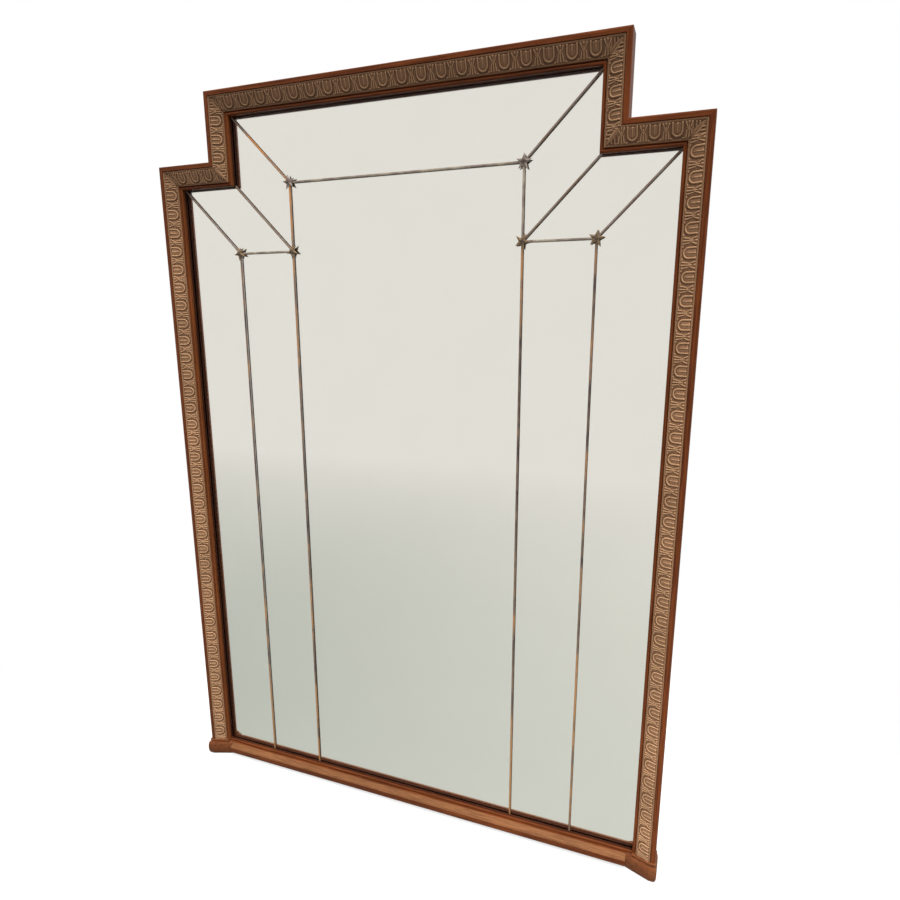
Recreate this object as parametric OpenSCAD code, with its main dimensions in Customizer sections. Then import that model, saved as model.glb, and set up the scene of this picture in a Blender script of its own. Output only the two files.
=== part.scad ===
// Stepped art deco wall mirror.
// A mitred wooden frame with a cast leaf-and-dart band, plinth blocks at the
// foot, ten mirror plates, metal beads over their seams and a star at each
// junction of beads. Millimetres, +Z up, the glass faces -Y, the wall is at +Y.

/* [Frame] */
// Width over the two stiles
frame_w = 1200; // [900:10:1500]
// Height from the underside of the bottom rail to the top
frame_h = 1660; // [1300:10:2000]
// Width of each step at the top corners
step_w = 143; // [90:1:200]
// Height of each step at the top corners
step_h = 143; // [90:1:200]
// Thickness of the frame from front to back
frame_t = 40; // [38:0.5:46]
// Width of the moulding from its outer edge to the sight edge
moulding_w = 50; // [46:0.5:70]
// Height of the bottom rail up to its sight edge
bottom_h = 30; // [26:0.5:45]
// Depth of the glass behind the front of the frame
glass_depth = 28; // [26:0.5:30]
// Width of the rebate that holds the glass
rebate_w = 8; // [6:0.5:10]
// Radius of the eased outer edge
edge_r = 3; // [1.5:0.25:4]

/* [Carved band] */
// Distance from the outer edge to the carved band
band_inset = 11.5; // [9:0.5:12]
// Width of the carved band, seen from the front
band_w = 30.5; // [26:0.5:31]
// Depth of the band's ground at its outer side
band_depth = 1; // [0.8:0.1:2]
// How much deeper the ground lies at its inner side
band_fall = 12; // [8:0.5:12]
// Thickness of the cast strip under its ground
strip_t = 4; // [3:0.25:4.5]
// Height of the carving above its ground
relief = 2.3; // [1.2:0.1:2.6]
// Height of the plain fillet along each side of the strip
fillet_relief = 1; // [0.5:0.1:1]
// Length of one tongue and dart
motif_pitch = 41.6; // [34:0.2:50]
// Gap beside the strip in its channel
strip_gap = 0.2; // [0.1:0.05:0.4]

/* [Plinth blocks] */
// Height of the block under its bead
block_h = 33; // [26:0.5:40]
// Height of the bead between block and stile
bead_h = 6; // [4:0.5:8]
// How far the block stands below the bottom rail
block_drop = 8; // [2:0.5:10]
// How far the block stands forward of the frame
block_front = 12; // [8:0.5:16]
// How far the block stands out to the side
block_side = 4.5; // [3:0.25:8]
// How far the block reaches past the sight edge
block_inner = 13; // [3:0.5:20]
// How much the block's nose swells
block_swell = 4.5; // [2:0.25:5]

/* [Mirror plates] */
// Thickness of the mirror plates
glass_t = 4; // [3:0.5:5]
// Gap between two neighbouring plates
seam_gap = 1.6; // [1.2:0.1:2]
// Gap between the plates and the rebate
plate_gap = 1; // [0.5:0.25:2]

/* [Seam beads and stars] */
// Width of the half-round bead
seam_w = 4.6; // [3.5:0.1:6]
// Thickness of the bead's tongue between the plates
tongue_t = 1; // [0.6:0.1:1]
// Gap between a bead's end and the sight edge
seam_end_gap = 0.3; // [0.2:0.1:1]
// Distance from a star's centre to the ends of the beads
star_clear = 7; // [6.5:0.25:9]
// Radius to the points of a star
star_r = 16; // [12:0.5:20]
// Radius to the notches of a star
star_notch_r = 6.6; // [5:0.2:7.5]
// Thickness of a star at its rim
star_rim = 1; // [0.6:0.1:1.5]
// Height of a star's centre over its rim
star_crown = 4; // [2:0.25:6]
// Radius of the pin that holds a star
pin_r = 1.5; // [1:0.1:2]
// Radius of the collar under a star
collar_r = 4; // [3:0.25:4.5]

/* [Joints in the frame] */
// Thickness of the key across each mitre
key_t = 3; // [2:0.5:3]
// Length of a key across the mitre
key_len = 28; // [20:1:30]
// Width of a key along the mitre
key_w = 16; // [10:1:18]
// Length of the tenons into the plinth blocks
tenon_len = 10; // [6:0.5:12]
// Clearance round keys and tenons
joint_gap = 0.15; // [0.1:0.05:0.3]

/* [Hangers] */
// Distance from the top of the stile down to the hanger's eye
hanger_drop = 282; // [200:2:600]
// Width of the hanger strap
strap_w = 20; // [16:0.5:24]
// Length of the hanger strap below its eye
strap_len = 62; // [50:1:80]
// Thickness of the strap
strap_thick = 1.6; // [1.2:0.1:2]
// Radius of the ring's wire
ring_wire_r = 1.8; // [1.5:0.1:2]
// Radius of the ring's bend, to the middle of the wire
ring_bend_r = 15; // [13:0.5:16]
// Radial clearance of the ring's bar in its eye
ring_fit = 0.06; // [0.02:0.01:0.1]
// Wall of the rolled eye
eye_wall = 1.6; // [1.2:0.1:1.8]
// Distance from the eye's axis to the frame's back
eye_out = 5.2; // [5:0.1:6]
// Radius of the screws' shanks
screw_r = 2; // [1.5:0.1:2.2]

/* [Back] */
// Number of retaining plates up each side
side_plates = 4; // [3:1:6]
// Distance of the lowest plate from the underside of the rail
plate_low = 130; // [90:5:200]
// Distance of the highest plate below the shoulder's sight edge
plate_high = 60; // [40:5:80]
// Gap between the hanger strap and the plate below it
plate_clear = 25; // [10:1:60]
// Length of a retaining plate
plate_len = 36; // [30:1:44]
// Width of a retaining plate
plate_w = 14; // [10:0.5:18]
// Thickness of a retaining plate
plate_t = 1.5; // [1:0.1:2]
// Radius of the felt pads at the lower corners
pad_r = 12; // [8:0.5:16]
// Thickness of the felt pads
pad_t = 9.5; // [9.5:0.25:12]

/* [Hidden] */

$fn = 48;
eps = 0.01;
wood = "#7a4428";
carved = "#9a7a58";
brass = "#9c8254";
steel = "#8f8f8c";
silver = "#d7d6cf";

// Heights from the underside of the plinth blocks, and half widths
rail_z = block_drop;
top_z = rail_z + frame_h;
shoulder_z = top_z - step_h;
half_w = frame_w / 2;
riser_x = half_w - step_w;
block_top = block_h + bead_h;
stile_len = shoulder_z - block_top;
// The model is centred from front to back over the blocks and the felt pads
front_y = block_front - (block_front + frame_t + pad_t) / 2;

// Sight edges, and the lines that the seams follow behind the glass
sight_x = half_w - moulding_w;
sight_riser_x = riser_x - moulding_w;
sight_shoulder_z = shoulder_z - moulding_w;
sight_top_z = top_z - moulding_w;
sight_bottom_z = rail_z + bottom_h;
// The border plates are as wide as a step, so the outer seams line up with the risers
outer_x = sight_x - step_w;
inner_x = sight_riser_x - step_w;
low_z = sight_shoulder_z - step_h;
high_z = sight_top_z - step_h;
under = rebate_w - plate_gap;
board_t = frame_t - glass_depth - glass_t;

// The carved band lies on a slope: across it is v, out of it is w
band_angle = atan(band_fall / band_w);
band_len = band_w / cos(band_angle);
function band(v, w) = [
  band_inset + v * cos(band_angle) + w * sin(band_angle),
  band_depth + v * sin(band_angle) - w * cos(band_angle)];

// Section of the carved moulding, as [distance from the outer edge, depth]
quirk_w = 1.5;
quirk_depth = 2;
sight_bead_r = 3.2;
sight_bead_depth = 16.7;
// The wall under the bead steps back to a narrow dark reveal above the glass
reveal_depth = 21;
reveal_step = 0.6;
quirk_turn = (band_depth - strip_gap * sin(band_angle) - quirk_depth) / cos(band_angle);
inner_quirk = -0.8;
moulding_section = concat(
  [[0, frame_t]],
  [for (a = [0 : 30 : 90]) [edge_r * (1 - cos(a)), edge_r * (1 - sin(a))]],
  [[band_inset - quirk_w, 0], [band_inset - quirk_w, quirk_depth],
   band(-strip_gap, quirk_turn), band(-strip_gap, -strip_t),
   band(band_len + strip_gap, -strip_t), band(band_len + strip_gap, inner_quirk),
   [moulding_w - 2 * sight_bead_r, sight_bead_depth]],
  [for (a = [150 : -30 : 0]) [moulding_w - sight_bead_r * (1 - cos(a)),
                              sight_bead_depth - sight_bead_r * sin(a)]],
  [[moulding_w, reveal_depth], [moulding_w - reveal_step, reveal_depth + reveal_step],
   [moulding_w - reveal_step, glass_depth], [moulding_w - rebate_w, glass_depth],
   [moulding_w - rebate_w, frame_t]]);

// Section of the plain bottom rail, as [height, depth]
ovolo_r = 5;
ovolo_depth = 4;
cyma_start = [bottom_h - 13.5, 1.5];
cyma_end = [bottom_h - 5.5, 13];
cyma_bow = 1;
lip_r = 2.4;
lip_depth = 19.6;
bottom_section = concat(
  [[0, frame_t]],
  [for (a = [0 : 22.5 : 90]) [ovolo_r * (1 - cos(a)), ovolo_depth * (1 - sin(a))]],
  [[cyma_start[0] - 1, 0], [cyma_start[0] - 0.5, cyma_start[1]]],
  [for (t = [0 : 0.2 : 1])
     cyma_start + t * (cyma_end - cyma_start) - [0, cyma_bow * sin(360 * t)]],
  [[cyma_end[0] + 0.3, lip_depth - 0.6]],
  [for (a = [150 : -30 : 0]) [bottom_h - lip_r * (1 - cos(a)), lip_depth - lip_r * sin(a)]],
  [[bottom_h, reveal_depth], [bottom_h - reveal_step, reveal_depth + reveal_step],
   [bottom_h - reveal_step, glass_depth], [bottom_h - rebate_w, glass_depth],
   [bottom_h - rebate_w, frame_t]]);

// Layout of the carving along one length of moulding
band_outer = band_inset;
band_inner = band_inset + band_w;
foot_margin = 6;
// Half widths and lengths of the leaf on a mitre, and of the one at a square end
leaf_wide = 9;
leaf_narrow = 4.5;
leaf_short = 2.5;

// Middle of the wood behind the rebate, for the keys, the hangers and the pads
back_middle = (moulding_w - rebate_w) / 2;
// Corners of the three mitres on the left side
left_mitres = [[-half_w, shoulder_z], [-riser_x, shoulder_z], [-riser_x, top_z]];
key_depth = 20;
// The six junctions of the seams
junctions = [[-inner_x, high_z], [inner_x, high_z], [-inner_x, low_z],
             [inner_x, low_z], [-outer_x, low_z], [outer_x, low_z]];
// How far each star is turned, in the same order
star_turns = [28, 158, 52, 356, 47, 80];
collar_h = seam_w / 2 + 0.5;
glass_hole_gap = 0.7;
// How far a bead is drawn past the sight edge before it is cut to it
bead_over = 8;

// Plinth block: depth of its face at the inner side, corner, and half angle of its nose
block_fall = 7;
block_ease = 2;
nose_arc = 78;
// The bead on the block: its reach to the side and forward, its depth and its swell
bead_side = 2;
bead_front = 4;
bead_fall = 8;
bead_swell = 2;

// Tenon from the stile down into its block, and from the bottom rail into it
stile_tenon = [20, 14];
stile_tenon_at = [12, 19];
rail_tenon = [10, 8];
rail_tenon_at = [6, 26];

// Hangers
hanger_z = shoulder_z - hanger_drop;
ring_leg = 6;
eye_r = ring_wire_r + ring_fit + eye_wall;
screw_drops = [27, 41, 54];
screw_len = 22;
screw_head_r = screw_r * 1.8;
screw_head_h = 1.6;
board_screw_r = 1.5;
board_screw_len = 7;
board_screw_head = 1.4;
// Holes for screws in wood, as a share of the shank, and their slack in metal and board
pilot_share = 1.15;
metal_slack = 0.2;
board_slack = 0.1;
pad_z = 60;

// Places a length whose outer edge runs up the left side, from x and z
module upright(x, z) translate([x, front_y, z]) children();
// Places a length whose outer edge runs along a top edge, from x and z
module across(x, z) translate([x, front_y, z]) rotate([0, 90, 0]) children();

// Cuts a length of moulding at its two ends. An end turn of -1 is the mitre of
// an outward corner, 1 that of an inward corner, and 0 a square end
module ends(len, first, last) {
  reach = moulding_w + 1;
  translate([0, frame_t + 1, 0]) rotate([90, 0, 0])
    linear_extrude(frame_t + 2)
      polygon([[-1, first], [reach, -first * reach], [reach, len + last * reach],
               [-1, len - last]]);
}
module moulding(len, first, last) {
  intersection() {
    translate([0, 0, -moulding_w * 2]) linear_extrude(len + moulding_w * 4)
      polygon(moulding_section);
    ends(len, first, last);
  }
}

// Keys across the mitres of one side, grown by a clearance for their slots
module side_keys(grow) {
  for (m = left_mitres)
    translate([m[0] + back_middle, front_y + key_depth, m[1] - back_middle])
      rotate([0, 45, 0]) translate([-key_w / 2 - grow, -grow, -key_len / 2 - grow])
        cube([key_w + 2 * grow, key_t + 2 * grow, key_len + 2 * grow]);
}

// Pilot holes of the screws in the left stile's back, with eight flat sides
module left_stile_pilots() {
  for (drop = screw_drops)
    translate([-half_w + back_middle, front_y + frame_t + 1, hanger_z - drop])
      rotate([90, 0, 0]) cylinder(r = screw_r * pilot_share, h = screw_len + 1, $fn = 8);
  for (z = retaining_heights) left_pilot([-half_w + moulding_w - rebate_w, z], -90);
}
module left_pilot(at, turn) {
  retaining_place(at, turn) translate([plate_len / 4, -1, 0]) rotate([-90, 0, 0])
    translate([0, 0, -board_screw_len])
      cylinder(r = board_screw_r * pilot_share, h = board_screw_len + 2, $fn = 8);
}

module left_stile() {
  color(wood) difference() {
    union() {
      upright(-half_w, block_top) moulding(stile_len, 0, -1);
      translate([-half_w + stile_tenon_at[0], front_y + stile_tenon_at[1], block_top - tenon_len])
        cube([stile_tenon[0], stile_tenon[1], tenon_len + 1]);
    }
    side_keys(joint_gap);
    left_stile_pilots();
  }
}
module left_shoulder_rail() {
  color(wood) difference() {
    across(-half_w, shoulder_z) moulding(step_w, -1, 1);
    side_keys(joint_gap);
    left_pilot([-half_w + moulding_w + step_w / 2 - rebate_w, shoulder_z - moulding_w + rebate_w], 0);
  }
}
module left_riser() {
  color(wood) difference() {
    upright(-riser_x, shoulder_z) moulding(step_h, 1, -1);
    side_keys(joint_gap);
  }
}
module top_rail() {
  color(wood) difference() {
    across(-riser_x, top_z) moulding(2 * riser_x, -1, -1);
    side_keys(joint_gap);
    mirror([1, 0, 0]) side_keys(joint_gap);
    for (x = top_retainers)
      left_pilot([x, top_z - moulding_w + rebate_w], 0);
  }
}
module bottom_rail() {
  rail_x = half_w - moulding_w - block_inner;
  color(wood) difference() {
    union() {
      difference() {
        translate([sight_x, front_y, rail_z]) rotate([0, -90, 0])
          linear_extrude(2 * sight_x) polygon(bottom_section);
        // Only the sight bead runs on over the blocks, up to the stiles
        for (side = [-1, 1])
          translate([side * sight_x - block_inner, front_y - 1, rail_z - 1])
            cube([2 * block_inner, frame_t + 2, block_h - rail_z + 1]);
      }
      for (side = [-1, 1])
        translate([side * rail_x - tenon_len, front_y + rail_tenon_at[1], rail_z + rail_tenon_at[0]])
          cube([2 * tenon_len, rail_tenon[1], rail_tenon[0]]);
    }
    for (x = bottom_retainers)
      left_pilot([x, rail_z + bottom_h - rebate_w], 180);
  }
}

// One cast strip of leaf and dart. Each tongue is a U whose round end points to
// the glass, with a rib inside it, and a forked dart stands between two tongues.
// Shares of the pitch, measured from the middle of the tongue
u_leg = 0.18;
u_half = 0.04;
rib_half = 0.055;
dart_half = 0.04;
fork_low = 0.2;
fork_high = 0.115;
fork_mid = 0.155;
// Shares of the band's width, from its outer side
v_fillet = 0.11;
v_start = 0.135;
v_bend = 0.53;
v_fork = 0.38;
v_stem = 0.78;

function carving_point(v, w, u) = concat(band(v * band_len, w), [u]);
// Where the strip ends at v and w: the mitre plane, or a square end
function first_u(v, w, first) = -first * band(v * band_len, w)[0];
function last_u(v, w, len, last) = len + last * band(v * band_len, w)[0];

// Column of points at the middle of a dart
dart_column = [[v_fillet, 0], [0.3, 0], [v_fork, relief * 0.85], [0.865, 0], [1 - v_fillet, 0],
               [v_fillet - 0.012, fillet_relief], [1 - v_fillet + 0.012, fillet_relief * 0.6],
               [v_stem, relief * 0.75]];
// Column of points at the middle of a tongue
tongue_column = [[v_fillet, 0], [v_start, 0], [0.22, relief], [0.46, relief * 0.9], [0.61, 0],
                 [0.72, 0], [0.775, relief * 0.9], [0.825, 0], [1 - v_fillet, 0],
                 [v_fillet - 0.012, fillet_relief], [1 - v_fillet + 0.012, fillet_relief * 0.6]];
// Points on one side of a tongue: [share of the pitch, v, w]
bend_u = u_leg * 0.707;
side_points = [
  [rib_half, 0.22, 0], [rib_half, 0.44, 0],
  [u_leg - u_half, v_start, 0], [u_leg - u_half, 0.515, 0], [bend_u - u_half * 0.75, 0.662, 0],
  [u_leg, v_start + 0.03, relief * 0.9], [u_leg, v_bend, relief * 0.9],
  [bend_u, 0.704, relief * 0.9],
  [u_leg + u_half, v_start, 0], [u_leg + u_half, 0.545, 0], [bend_u + u_half * 0.75, 0.742, 0],
  [0.5 - fork_mid, 0.18, relief * 0.7],
  [0.5 - dart_half, v_stem, 0], [0.5 - dart_half, 0.46, 0],
  [0.5 - fork_low, 0.17, 0], [0.5 - fork_high, 0.14, 0]];

// The leaf that lies half on each side of a mitre: [v, w] on the mitre plane,
// then [v, distance from the plane]. It widens to the roomier side of the strip
function leaf_line(turn) = turn > 0
  ? [[0.2, 0], [0.85, 0], [0.45, relief * 0.7], [0.7, relief]]
  : [[0.15, 0], [0.8, 0], [0.3, relief], [0.55, relief * 0.7]];
function leaf_side(turn) = turn > 0 ? [[0.45, leaf_narrow], [0.7, leaf_wide]]
  : turn < 0 ? [[0.3, leaf_wide], [0.55, leaf_narrow]] : [[0.3, leaf_short], [0.55, leaf_short]];

end_profile = [[0, fillet_relief], [v_fillet - 0.012, fillet_relief], [v_fillet, 0],
               [1 - v_fillet, 0], [1 - v_fillet + 0.012, fillet_relief * 0.6],
               [1, fillet_relief * 0.6], [1, -strip_t], [0, -strip_t]];
function end_points(turn, u_line, u_edge, way) = concat(
  [for (p = concat(end_profile, leaf_line(turn)))
     carving_point(p[0], p[1], u_line(p[0], p[1]))],
  [for (p = leaf_side(turn)) carving_point(p[0], 0, u_line(p[0], 0) - way * p[1])],
  [for (v = [0.33, v_stem]) carving_point(v, 0, u_edge + way * dart_half * motif_pitch)]);

// Faces are listed clockwise as seen from outside, for the half of a motif that
// runs up from its middle, and turned over for the other half
function turned(faces, flip) = [for (f = faces) flip ? [for (i = [len(f) - 1 : -1 : 0]) f[i]] : f];
function half_faces(b, c, h) = [
  [c + 1, h, c + 2], [c + 2, h, h + 1], [c + 2, h + 1, c + 3], [c + 3, h + 1, c + 4],
  [h + 2, h + 5, h + 6], [h + 2, h + 6, h + 3], [h + 3, h + 6, h + 7], [h + 3, h + 7, h + 4],
  [h + 4, h + 7, c + 6], [h + 4, c + 6, c + 5], [h + 5, h + 8, h + 9], [h + 5, h + 9, h + 6],
  [h + 6, h + 9, h + 10], [h + 6, h + 10, h + 7], [h + 7, h + 10, c + 7], [h + 7, c + 7, c + 6],
  [h + 2, h + 8, h + 5],
  [b + 2, b + 7, h + 12], [b + 2, h + 12, h + 13], [b + 7, b + 3, h + 12],
  [b + 2, h + 13, h + 14], [b + 2, h + 14, h + 11], [b + 2, h + 11, h + 15],
  [b + 2, h + 15, b + 1], [h + 11, h + 14, h + 15],
  [c, h + 2, c + 1], [c + 1, h + 2, h], [h, h + 2, h + 3], [h, h + 3, h + 1], [h + 1, h + 3, h + 4],
  [h + 1, h + 4, c + 4], [c + 4, h + 4, c + 5],
  [c, b, h + 2], [h + 2, b, h + 8], [h + 8, b, h + 15], [b, b + 1, h + 15], [h + 8, h + 15, h + 14],
  [h + 8, h + 14, h + 13], [h + 8, h + 13, h + 9], [h + 9, h + 13, h + 12], [h + 9, h + 12, h + 10],
  [h + 10, h + 12, c + 7], [c + 7, h + 12, b + 3], [c + 7, b + 3, b + 4], [c + 7, b + 4, c + 8],
  [c + 9, b + 5, b, c], [c + 8, b + 4, b + 6, c + 10]];
function end_faces(b, e) = [
  [b + 1, e + 14, b + 2], [b + 2, e + 14, e + 15], [b + 2, e + 15, b + 7], [b + 7, e + 15, b + 3],
  [b, e + 2, e + 8], [b, e + 8, b + 1], [b + 1, e + 8, e + 14], [e + 14, e + 8, e + 12],
  [e + 14, e + 12, e + 13], [e + 14, e + 13, e + 15], [e + 15, e + 13, e + 9],
  [e + 15, e + 9, e + 3], [b + 3, e + 15, e + 3], [b + 3, e + 3, b + 4],
  [e + 8, e + 10, e + 12], [e + 10, e + 11, e + 13], [e + 10, e + 13, e + 12],
  [e + 11, e + 9, e + 13],
  [b + 5, e + 1, e + 2, b], [b + 4, e + 3, e + 4, b + 6],
  [e + 6, e + 5, e + 4], [e + 6, e + 4, e + 3], [e + 7, e + 6, e + 3], [e + 7, e + 3, e + 9],
  [e + 7, e + 9, e + 8], [e + 9, e + 11, e + 10], [e + 9, e + 10, e + 8], [e + 7, e + 8, e + 2],
  [e + 7, e + 2, e + 1], [e + 7, e + 1, e]];

module carving(len, first, last) {
  start = first < 0 ? band_inner : first > 0 ? -band_outer : foot_margin;
  stop = last < 0 ? len - band_inner : last > 0 ? len + band_outer : len - foot_margin;
  count = max(1, round((stop - start) / motif_pitch));
  pitch = (stop - start) / count;
  size = 51;
  edge = size - 8;
  points = concat(
    end_points(first, function (v, w) first_u(v, w, first), start, -1),
    [for (i = [0 : count - 1]) let (middle = start + (i + 0.5) * pitch) each concat(
      [for (p = dart_column) carving_point(p[0], p[1], middle - pitch / 2)],
      [for (p = tongue_column) carving_point(p[0], p[1], middle)],
      [for (way = [-1, 1]) for (p = side_points)
         carving_point(p[1], p[2], middle + way * p[0] * pitch)])],
    [for (p = dart_column) carving_point(p[0], p[1], stop)],
    end_points(last, function (v, w) last_u(v, w, len, last), stop, 1));
  tile = 16;
  final = tile + size * count;
  far = final + 8;
  faces = concat(
    turned(end_faces(tile, 0), true),
    [for (i = [0 : count - 1]) let (b = tile + size * i) each concat(
      turned(half_faces(b, b + 8, b + 19), true),
      half_faces(b + size, b + 8, b + 35))],
    end_faces(final, far),
    [[7, far + 7, far, 0], [5, far + 5, far + 6, 6], [6, far + 6, far + 7, 7],
     concat([0, far, far + 1, final + 5],
            [for (i = [count - 1 : -1 : 0]) each [tile + size * i + 17, tile + size * i + 5]], [1]),
     concat([5, 4], [for (i = [0 : count - 1]) each [tile + size * i + 6, tile + size * i + 18]],
            [final + 6, far + 4, far + 5])]);
  polyhedron(points = points, faces = faces, convexity = 6);
}

module left_stile_carving() color(carved) upright(-half_w, block_top) carving(stile_len, 0, -1);
module left_shoulder_carving() color(carved) across(-half_w, shoulder_z) carving(step_w, -1, 1);
module left_riser_carving() color(carved) upright(-riser_x, shoulder_z) carving(step_h, 1, -1);
module top_carving() color(carved) across(-riser_x, top_z) carving(2 * riser_x, -1, -1);

// Plan of a plinth block: flat under the outer flat of the stile, then falling
// back with the carved band, as far as its inner side
function block_plan(side, front, fall, inner) = [
  [-side, frame_t], [-side, -front + block_ease], [block_ease - side, -front], [band_inset, -front],
  [inner, fall], [inner, frame_t]];
module nose(z, height, side, front, fall, inner, swell, rings) {
  hull() for (i = [0 : rings]) {
    angle = nose_arc * (2 * i / rings - 1);
    inset = swell * (1 - cos(angle));
    translate([0, 0, z + height / 2 * (1 + sin(angle) / sin(nose_arc)) * (1 - eps / height)])
      linear_extrude(eps) polygon(block_plan(side - inset, front - inset, fall + inset, inner));
  }
}
module left_plinth() {
  reach = block_inner + rebate_w;
  color(wood) difference() {
    translate([-half_w, front_y, 0]) {
      nose(0, block_h, block_side, block_front, block_fall, moulding_w + block_inner, block_swell, 8);
      nose(block_h, bead_h, bead_side, bead_front, bead_fall, moulding_w, bead_swell, 6);
    }
    translate([-half_w + moulding_w - rebate_w, front_y + glass_depth, rail_z + bottom_h - rebate_w])
      cube([reach + 1, frame_t, block_top]);
    translate([-half_w + stile_tenon_at[0] - joint_gap, front_y + stile_tenon_at[1] - joint_gap,
               block_top - tenon_len - joint_gap])
      cube([stile_tenon[0] + 2 * joint_gap, stile_tenon[1] + 2 * joint_gap, tenon_len + 1]);
    translate([-half_w + moulding_w + block_inner - tenon_len - joint_gap,
               front_y + rail_tenon_at[1] - joint_gap, rail_z + rail_tenon_at[0] - joint_gap])
      cube([tenon_len + 1, rail_tenon[1] + 2 * joint_gap, rail_tenon[0] + 2 * joint_gap]);
  }
}

// A mirror plate, from its outline seen from the front
module plate(outline) {
  color(silver) difference() {
    translate([0, front_y + glass_depth + glass_t, 0]) rotate([90, 0, 0])
      linear_extrude(glass_t) polygon(outline);
    for (j = junctions) translate([j[0], front_y + glass_depth - 1, j[1]])
      rotate([-90, 0, 0]) cylinder(r = pin_r + glass_hole_gap, h = glass_t + 2);
  }
}
half_gap = seam_gap / 2;
// Each diagonal seam runs from a junction to the corner of the plates
diagonal = [step_w + under, step_h + under];
// How far the gap sets the end of a diagonal back, along its plate's border
slant_x = half_gap * norm(diagonal) / diagonal[1];
slant_z = half_gap * norm(diagonal) / diagonal[0];
// How far it leans over the width of half a gap
lean_x = half_gap * diagonal[0] / diagonal[1];
lean_z = half_gap * diagonal[1] / diagonal[0];
// How far a plate's corner at a junction is set back
corner_x = lean_x - slant_x;
corner_z = lean_z - slant_z;
plate_x = sight_x + under;
plate_riser_x = sight_riser_x + under;
plate_shoulder_z = sight_shoulder_z + under;
plate_top_z = sight_top_z + under;
plate_bottom_z = sight_bottom_z - under;

module centre_plate() plate([
  [-inner_x + half_gap, plate_bottom_z], [inner_x - half_gap, plate_bottom_z],
  [inner_x - half_gap, high_z - half_gap], [-inner_x + half_gap, high_z - half_gap]]);
module top_plate() plate([
  [-inner_x - corner_x, high_z + half_gap], [inner_x + corner_x, high_z + half_gap],
  [plate_riser_x - slant_x, plate_top_z], [-plate_riser_x + slant_x, plate_top_z]]);
module left_riser_plate() plate([
  [-plate_riser_x, plate_shoulder_z + slant_z], [-plate_riser_x, plate_top_z - slant_z],
  [-inner_x - half_gap, high_z + corner_z],
  [-inner_x - half_gap, low_z + slant_z + lean_z]]);
module left_shoulder_plate() plate([
  [-plate_x + slant_x, plate_shoulder_z], [-plate_riser_x - slant_x, plate_shoulder_z],
  [-inner_x - slant_x - lean_x, low_z + half_gap], [-outer_x - corner_x, low_z + half_gap]]);
module left_outer_plate() plate([
  [-plate_x, plate_bottom_z], [-plate_x, plate_shoulder_z - slant_z],
  [-outer_x - half_gap, low_z + corner_z], [-outer_x - half_gap, plate_bottom_z]]);
module left_inner_plate() plate([
  [-outer_x + half_gap, plate_bottom_z], [-inner_x - half_gap, plate_bottom_z],
  [-inner_x - half_gap, low_z - half_gap], [-outer_x + half_gap, low_z - half_gap]]);

// Outline of the sight opening, drawn in by a margin
function sight_outline(m) = [
  [-sight_x + m, sight_bottom_z + m], [-sight_x + m, sight_shoulder_z - m],
  [-sight_riser_x + m, sight_shoulder_z - m], [-sight_riser_x + m, sight_top_z - m],
  [sight_riser_x - m, sight_top_z - m], [sight_riser_x - m, sight_shoulder_z - m],
  [sight_x - m, sight_shoulder_z - m], [sight_x - m, sight_bottom_z + m]];

// A half-round bead with a tongue, from one point to another. A trim shortens
// an end at a star, and without one the bead runs up to the sight edge
module bead(from, to, trim_from, trim_to) {
  step = to - from;
  run = norm(step);
  lean = atan2(step[0], step[1]);
  low = trim_from > 0 ? trim_from : -bead_over;
  high = trim_to > 0 ? run - trim_to : run + bead_over;
  color(brass) intersection() {
    translate([from[0], front_y + glass_depth, from[1]]) rotate([0, lean, 0])
      translate([0, 0, low]) linear_extrude(high - low) {
        intersection() {
          circle(r = seam_w / 2);
          translate([-seam_w, -seam_w]) square([2 * seam_w, seam_w]);
        }
        translate([-tongue_t / 2, -eps]) square([tongue_t, glass_t]);
      }
    translate([0, front_y + frame_t, 0]) rotate([90, 0, 0])
      linear_extrude(frame_t) polygon(sight_outline(seam_end_gap));
  }
}
module top_bead() bead([-inner_x, high_z], [inner_x, high_z], star_clear, star_clear);
module left_top_diagonal_bead() bead([-inner_x, high_z], [-plate_riser_x, plate_top_z], star_clear, 0);
module left_short_bead() bead([-inner_x, low_z], [-inner_x, high_z], star_clear, star_clear);
module left_step_diagonal_bead()
  bead([-inner_x, low_z], [-plate_riser_x, plate_shoulder_z], star_clear, 0);
module left_shoulder_bead() bead([-outer_x, low_z], [-inner_x, low_z], star_clear, star_clear);
module left_outer_diagonal_bead() bead([-outer_x, low_z], [-plate_x, plate_shoulder_z], star_clear, 0);
module left_inner_bead() bead([-inner_x, sight_bottom_z], [-inner_x, low_z], 0, star_clear);
module left_outer_bead() bead([-outer_x, sight_bottom_z], [-outer_x, low_z], 0, star_clear);

// A five-pointed star with a ridge along each point
module star(index) {
  at = junctions[index];
  rim = [for (k = [0 : 9]) let (a = star_turns[index] + 36 * k, r = k % 2 == 0 ? star_r : star_notch_r)
           [r * cos(a), r * sin(a)]];
  points = concat([for (p = rim) [p[0], 0, p[1]]], [for (p = rim) [p[0], -star_rim, p[1]]],
                  [[0, -star_rim - star_crown, 0], [0, 0, 0]]);
  color(brass) translate([at[0], front_y + glass_depth - collar_h, at[1]])
    polyhedron(points = points, convexity = 4, faces =
      [for (k = [0 : 9]) let (n = (k + 1) % 10)
         each [[k, n, 21], [n, k, k + 10, n + 10], [n + 10, k + 10, 20]]]);
}
module left_top_star() star(0);
module right_top_star() star(1);
module left_inner_star() star(2);
module right_inner_star() star(3);
module left_outer_star() star(4);
module right_outer_star() star(5);

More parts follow.
